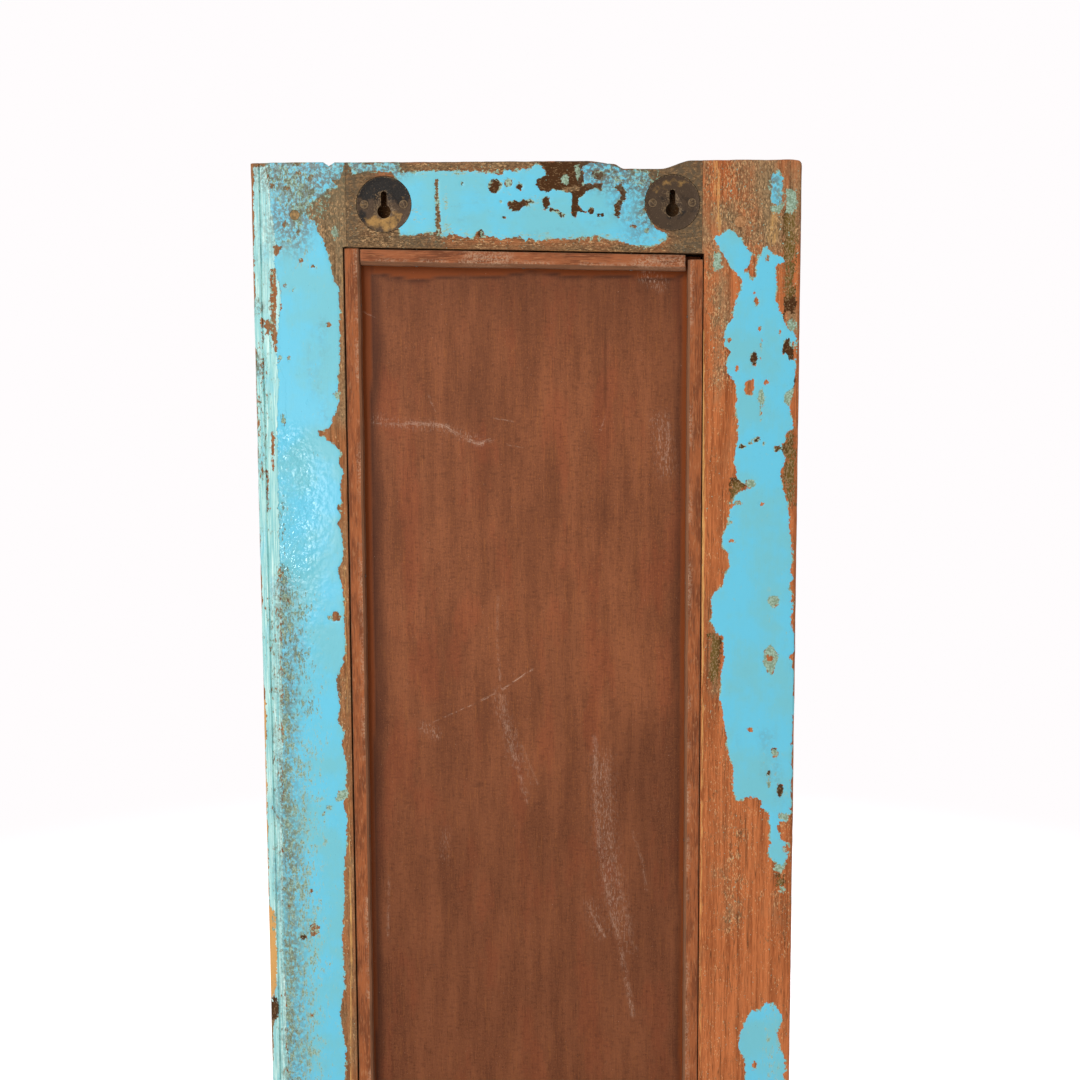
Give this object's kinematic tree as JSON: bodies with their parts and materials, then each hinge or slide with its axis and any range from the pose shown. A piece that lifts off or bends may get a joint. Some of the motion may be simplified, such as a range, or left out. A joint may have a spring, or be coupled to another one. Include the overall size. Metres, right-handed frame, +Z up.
{
  "type": "wall mirror",
  "caption": "Tall wall mirror in a rebated timber frame with pegged joints, held by beads and hung from keyhole plates.",
  "frame": {"origin": "on the back face of the top rail, midway across the frame, at the height where the wall screws seat in the keyholes", "axes": "+Z up; +Y out of the back, towards the wall; +X towards the meeting stile; the mirror faces -Y"},
  "size_m": [0.44, 0.036, 0.9],
  "materials": {
    "painted_timber": "old flaking turquoise paint over brown timber",
    "peg_wood": "worn end grain",
    "silvered_glass": "polished",
    "stained_board": "brown stain, scratched",
    "stained_bead": "brown stain, worn",
    "steel_pin": "dull",
    "old_brass": "dark patina, brighter where worn"
  },
  "bodies": {
    "root": {"meeting_stile": "painted_timber", "hanging_stile": "painted_timber", "top_rail": "painted_timber", "bottom_rail": "painted_timber", "peg_top_meeting": "peg_wood", "peg_top_hanging": "peg_wood", "peg_bottom_meeting": "peg_wood", "peg_bottom_hanging": "peg_wood", "mirror_glass": "silvered_glass", "backboard": "stained_board", "bead_top": "stained_bead", "bead_bottom": "stained_bead", "bead_meeting_side": "stained_bead", "bead_hanging_side": "stained_bead", "pins_top": "steel_pin", "pins_bottom": "steel_pin", "pins_meeting_side": "steel_pin", "pins_hanging_side": "steel_pin", "hanger_plate_meeting": "old_brass", "hanger_plate_hanging": "old_brass", "screw_meeting_outer": "old_brass", "screw_meeting_inner": "old_brass", "screw_hanging_inner": "old_brass", "screw_hanging_outer": "old_brass"}
  },
  "joints": []
}
